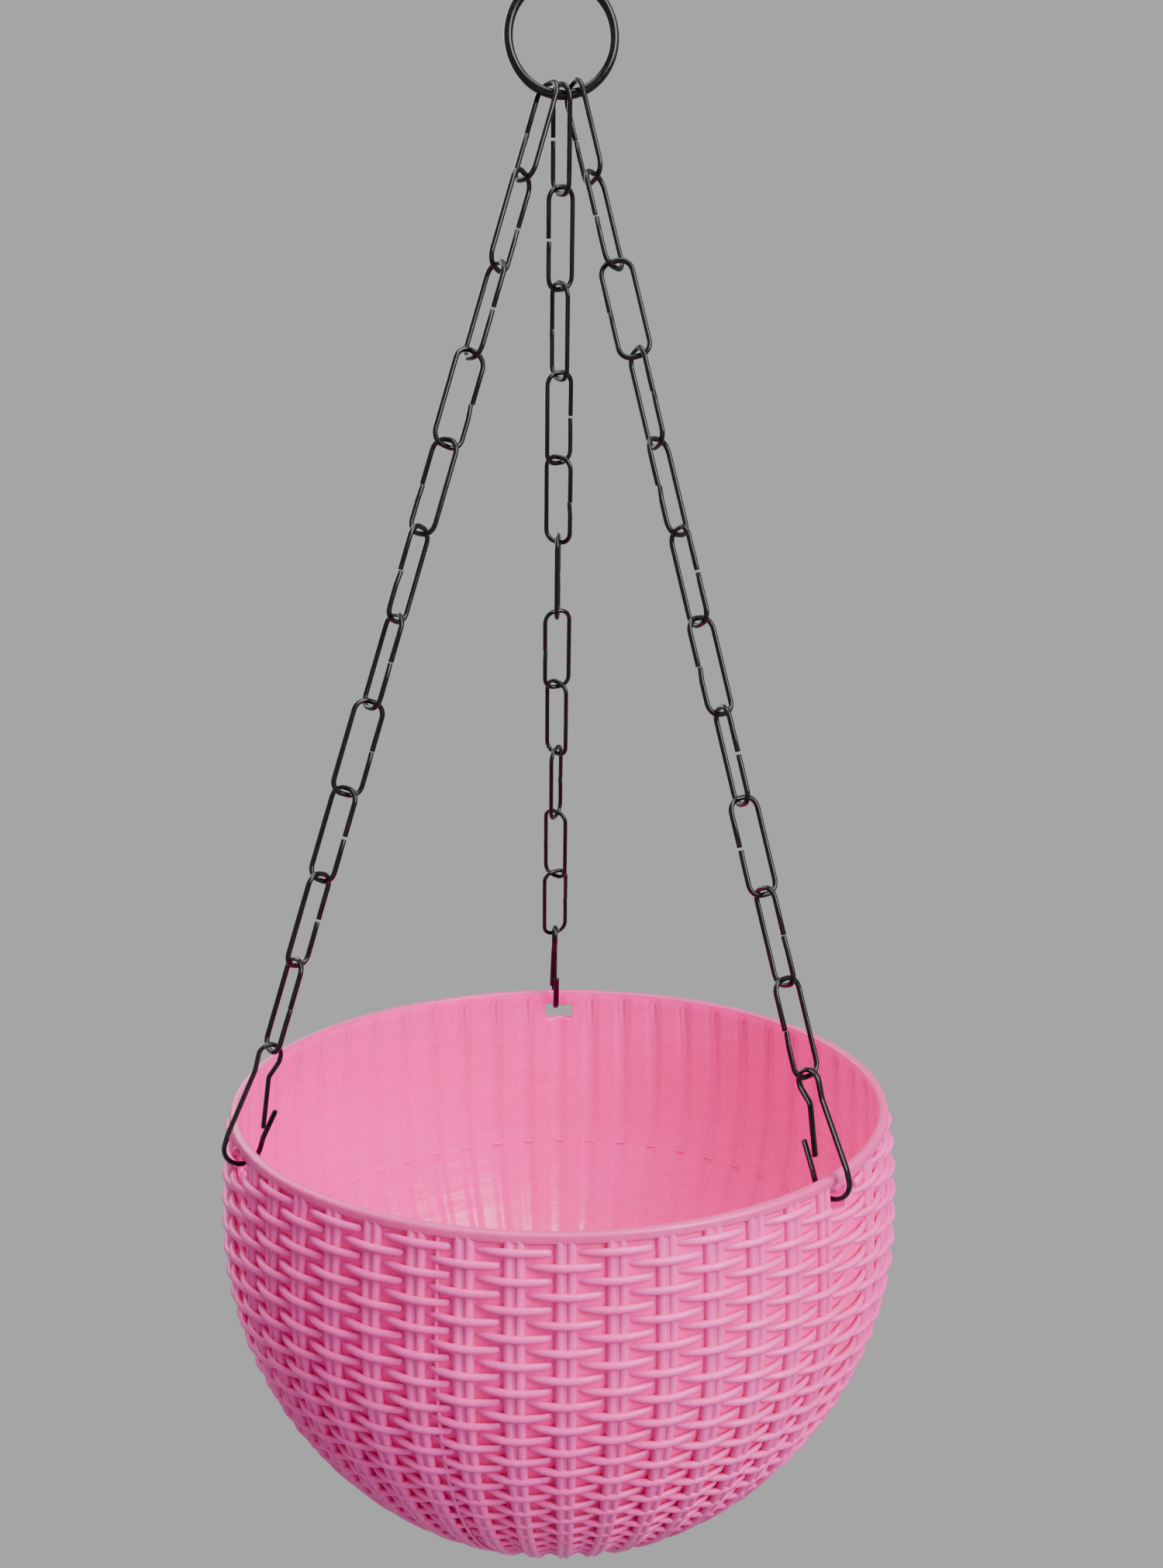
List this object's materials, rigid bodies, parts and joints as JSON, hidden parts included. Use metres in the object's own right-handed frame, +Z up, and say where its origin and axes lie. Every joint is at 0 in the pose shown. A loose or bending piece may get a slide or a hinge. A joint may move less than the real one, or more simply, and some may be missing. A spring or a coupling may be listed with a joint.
{
  "type": "hanging basket",
  "caption": "Round woven-look plastic hanging basket held level by wire link chains with spring clips that meet at a hanging ring, for trailing plants.",
  "frame": {"origin": "the inside top of the hanging ring, where a hook bears", "axes": "+Z up, +X to the right and -Y towards the front, with the ring lying in the XZ plane"},
  "size_m": [0.2076, 0.2085, 0.4405],
  "materials": {
    "pink_plastic": "satin",
    "black_paint": "gloss"
  },
  "bodies": {
    "ring": {"hanging_ring": "black_paint"},
    "basket": {"basket": "pink_plastic"},
    "left_link_01": {"left_link_01": "black_paint"},
    "left_link_02": {"left_link_02": "black_paint"},
    "left_link_03": {"left_link_03": "black_paint"},
    "left_link_04": {"left_link_04": "black_paint"},
    "left_link_05": {"left_link_05": "black_paint"},
    "left_link_06": {"left_link_06": "black_paint"},
    "left_link_07": {"left_link_07": "black_paint"},
    "left_link_08": {"left_link_08": "black_paint"},
    "left_link_09": {"left_link_09": "black_paint"},
    "left_link_10": {"left_link_10": "black_paint"},
    "left_link_11": {"left_link_11": "black_paint"},
    "left_clip": {"left_clip": "black_paint"},
    "rear_link_01": {"rear_link_01": "black_paint"},
    "rear_link_02": {"rear_link_02": "black_paint"},
    "rear_link_03": {"rear_link_03": "black_paint"},
    "rear_link_04": {"rear_link_04": "black_paint"},
    "rear_link_05": {"rear_link_05": "black_paint"},
    "rear_link_06": {"rear_link_06": "black_paint"},
    "rear_link_07": {"rear_link_07": "black_paint"},
    "rear_link_08": {"rear_link_08": "black_paint"},
    "rear_link_09": {"rear_link_09": "black_paint"},
    "rear_link_10": {"rear_link_10": "black_paint"},
    "rear_link_11": {"rear_link_11": "black_paint"},
    "rear_clip": {"rear_clip": "black_paint"},
    "right_link_01": {"right_link_01": "black_paint"},
    "right_link_02": {"right_link_02": "black_paint"},
    "right_link_03": {"right_link_03": "black_paint"},
    "right_link_04": {"right_link_04": "black_paint"},
    "right_link_05": {"right_link_05": "black_paint"},
    "right_link_06": {"right_link_06": "black_paint"},
    "right_link_07": {"right_link_07": "black_paint"},
    "right_link_08": {"right_link_08": "black_paint"},
    "right_link_09": {"right_link_09": "black_paint"},
    "right_link_10": {"right_link_10": "black_paint"},
    "right_link_11": {"right_link_11": "black_paint"},
    "right_clip": {"right_clip": "black_paint"}
  },
  "joints": [
    {"name": "basket_swing", "type": "hinge", "parent": "ring", "child": "basket", "pos_m": [0, 0, -0.02725], "axis": [1, 0, 0], "range_deg": [-25, 25]},
    {"name": "left_link_01_roll", "type": "hinge", "parent": "basket", "child": "left_link_01", "pos_m": [-0.0069, -0.00147, -0.03692], "axis": [0.2879, 0.1372, 0.9478], "range_deg": [-3, 3]},
    {"name": "left_link_02_roll", "type": "hinge", "parent": "basket", "child": "left_link_02", "pos_m": [-0.01402, -0.00487, -0.06038], "axis": [0.2879, 0.1372, 0.9478], "range_deg": [-10, 10]},
    {"name": "left_link_03_roll", "type": "hinge", "parent": "basket", "child": "left_link_03", "pos_m": [-0.02115, -0.00826, -0.08383], "axis": [0.2879, 0.1372, 0.9478], "range_deg": [-10, 10]},
    {"name": "left_link_04_roll", "type": "hinge", "parent": "basket", "child": "left_link_04", "pos_m": [-0.02827, -0.01166, -0.10729], "axis": [0.2879, 0.1372, 0.9478], "range_deg": [-10, 10]},
    {"name": "left_link_05_roll", "type": "hinge", "parent": "basket", "child": "left_link_05", "pos_m": [-0.0354, -0.01505, -0.13074], "axis": [0.2879, 0.1372, 0.9478], "range_deg": [-10, 10]},
    {"name": "left_link_06_roll", "type": "hinge", "parent": "basket", "child": "left_link_06", "pos_m": [-0.04252, -0.01845, -0.1542], "axis": [0.2879, 0.1372, 0.9478], "range_deg": [-10, 10]},
    {"name": "left_link_07_roll", "type": "hinge", "parent": "basket", "child": "left_link_07", "pos_m": [-0.04965, -0.02184, -0.17765], "axis": [0.2879, 0.1372, 0.9478], "range_deg": [-10, 10]},
    {"name": "left_link_08_roll", "type": "hinge", "parent": "basket", "child": "left_link_08", "pos_m": [-0.05677, -0.02524, -0.20111], "axis": [0.2879, 0.1372, 0.9478], "range_deg": [-10, 10]},
    {"name": "left_link_09_roll", "type": "hinge", "parent": "basket", "child": "left_link_09", "pos_m": [-0.0639, -0.02863, -0.22456], "axis": [0.2879, 0.1372, 0.9478], "range_deg": [-10, 10]},
    {"name": "left_link_10_roll", "type": "hinge", "parent": "basket", "child": "left_link_10", "pos_m": [-0.07103, -0.03203, -0.24802], "axis": [0.2879, 0.1372, 0.9478], "range_deg": [-10, 10]},
    {"name": "left_link_11_roll", "type": "hinge", "parent": "basket", "child": "left_link_11", "pos_m": [-0.07815, -0.03542, -0.27147], "axis": [0.2879, 0.1372, 0.9478], "range_deg": [-10, 10]},
    {"name": "left_clip_roll", "type": "hinge", "parent": "basket", "child": "left_clip", "pos_m": [-0.09007, -0.0411, -0.31071], "axis": [0.2879, 0.1372, 0.9478], "range_deg": [-8, 8]},
    {"name": "rear_link_01_roll", "type": "hinge", "parent": "basket", "child": "rear_link_01", "pos_m": [0.00001, 0.00356, -0.03745], "axis": [-0.0012, -0.3298, 0.9441], "range_deg": [-3, 3]},
    {"name": "rear_link_02_roll", "type": "hinge", "parent": "basket", "child": "rear_link_02", "pos_m": [0.00004, 0.01174, -0.06086], "axis": [-0.0012, -0.3298, 0.9441], "range_deg": [-10, 10]},
    {"name": "rear_link_03_roll", "type": "hinge", "parent": "basket", "child": "rear_link_03", "pos_m": [0.00007, 0.01992, -0.08427], "axis": [-0.0012, -0.3298, 0.9441], "range_deg": [-10, 10]},
    {"name": "rear_link_04_roll", "type": "hinge", "parent": "basket", "child": "rear_link_04", "pos_m": [0.0001, 0.0281, -0.10769], "axis": [-0.0012, -0.3298, 0.9441], "range_deg": [-10, 10]},
    {"name": "rear_link_05_roll", "type": "hinge", "parent": "basket", "child": "rear_link_05", "pos_m": [0.00013, 0.03628, -0.1311], "axis": [-0.0012, -0.3298, 0.9441], "range_deg": [-10, 10]},
    {"name": "rear_link_06_roll", "type": "hinge", "parent": "basket", "child": "rear_link_06", "pos_m": [0.00016, 0.04445, -0.15451], "axis": [-0.0012, -0.3298, 0.9441], "range_deg": [-10, 10]},
    {"name": "rear_link_07_roll", "type": "hinge", "parent": "basket", "child": "rear_link_07", "pos_m": [0.00019, 0.05263, -0.17792], "axis": [-0.0012, -0.3298, 0.9441], "range_deg": [-10, 10]},
    {"name": "rear_link_08_roll", "type": "hinge", "parent": "basket", "child": "rear_link_08", "pos_m": [0.00022, 0.06081, -0.20134], "axis": [-0.0012, -0.3298, 0.9441], "range_deg": [-10, 10]},
    {"name": "rear_link_09_roll", "type": "hinge", "parent": "basket", "child": "rear_link_09", "pos_m": [0.00025, 0.06899, -0.22475], "axis": [-0.0012, -0.3298, 0.9441], "range_deg": [-10, 10]},
    {"name": "rear_link_10_roll", "type": "hinge", "parent": "basket", "child": "rear_link_10", "pos_m": [0.00028, 0.07717, -0.24816], "axis": [-0.0012, -0.3298, 0.9441], "range_deg": [-10, 10]},
    {"name": "rear_link_11_roll", "type": "hinge", "parent": "basket", "child": "rear_link_11", "pos_m": [0.00031, 0.08535, -0.27158], "axis": [-0.0012, -0.3298, 0.9441], "range_deg": [-10, 10]},
    {"name": "rear_clip_roll", "type": "hinge", "parent": "basket", "child": "rear_clip", "pos_m": [0.00036, 0.09902, -0.31071], "axis": [-0.0012, -0.3298, 0.9441], "range_deg": [-8, 8]},
    {"name": "right_link_01_roll", "type": "hinge", "parent": "basket", "child": "right_link_01", "pos_m": [0.00578, -0.00253, -0.03703], "axis": [-0.2208, 0.2348, 0.9466], "range_deg": [-3, 3]},
    {"name": "right_link_02_roll", "type": "hinge", "parent": "basket", "child": "right_link_02", "pos_m": [0.01125, -0.00834, -0.06048], "axis": [-0.2208, 0.2348, 0.9466], "range_deg": [-10, 10]},
    {"name": "right_link_03_roll", "type": "hinge", "parent": "basket", "child": "right_link_03", "pos_m": [0.01672, -0.01416, -0.08393], "axis": [-0.2208, 0.2348, 0.9466], "range_deg": [-10, 10]},
    {"name": "right_link_04_roll", "type": "hinge", "parent": "basket", "child": "right_link_04", "pos_m": [0.02219, -0.01997, -0.10737], "axis": [-0.2208, 0.2348, 0.9466], "range_deg": [-10, 10]},
    {"name": "right_link_05_roll", "type": "hinge", "parent": "basket", "child": "right_link_05", "pos_m": [0.02766, -0.02579, -0.13082], "axis": [-0.2208, 0.2348, 0.9466], "range_deg": [-10, 10]},
    {"name": "right_link_06_roll", "type": "hinge", "parent": "basket", "child": "right_link_06", "pos_m": [0.03313, -0.0316, -0.15427], "axis": [-0.2208, 0.2348, 0.9466], "range_deg": [-10, 10]},
    {"name": "right_link_07_roll", "type": "hinge", "parent": "basket", "child": "right_link_07", "pos_m": [0.0386, -0.03742, -0.17771], "axis": [-0.2208, 0.2348, 0.9466], "range_deg": [-10, 10]},
    {"name": "right_link_08_roll", "type": "hinge", "parent": "basket", "child": "right_link_08", "pos_m": [0.04407, -0.04323, -0.20116], "axis": [-0.2208, 0.2348, 0.9466], "range_deg": [-10, 10]},
    {"name": "right_link_09_roll", "type": "hinge", "parent": "basket", "child": "right_link_09", "pos_m": [0.04954, -0.04905, -0.22461], "axis": [-0.2208, 0.2348, 0.9466], "range_deg": [-10, 10]},
    {"name": "right_link_10_roll", "type": "hinge", "parent": "basket", "child": "right_link_10", "pos_m": [0.05501, -0.05486, -0.24805], "axis": [-0.2208, 0.2348, 0.9466], "range_deg": [-10, 10]},
    {"name": "right_link_11_roll", "type": "hinge", "parent": "basket", "child": "right_link_11", "pos_m": [0.06048, -0.06068, -0.2715], "axis": [-0.2208, 0.2348, 0.9466], "range_deg": [-10, 10]},
    {"name": "right_clip_roll", "type": "hinge", "parent": "basket", "child": "right_clip", "pos_m": [0.06962, -0.0704, -0.31071], "axis": [-0.2208, 0.2348, 0.9466], "range_deg": [-8, 8]}
  ]
}
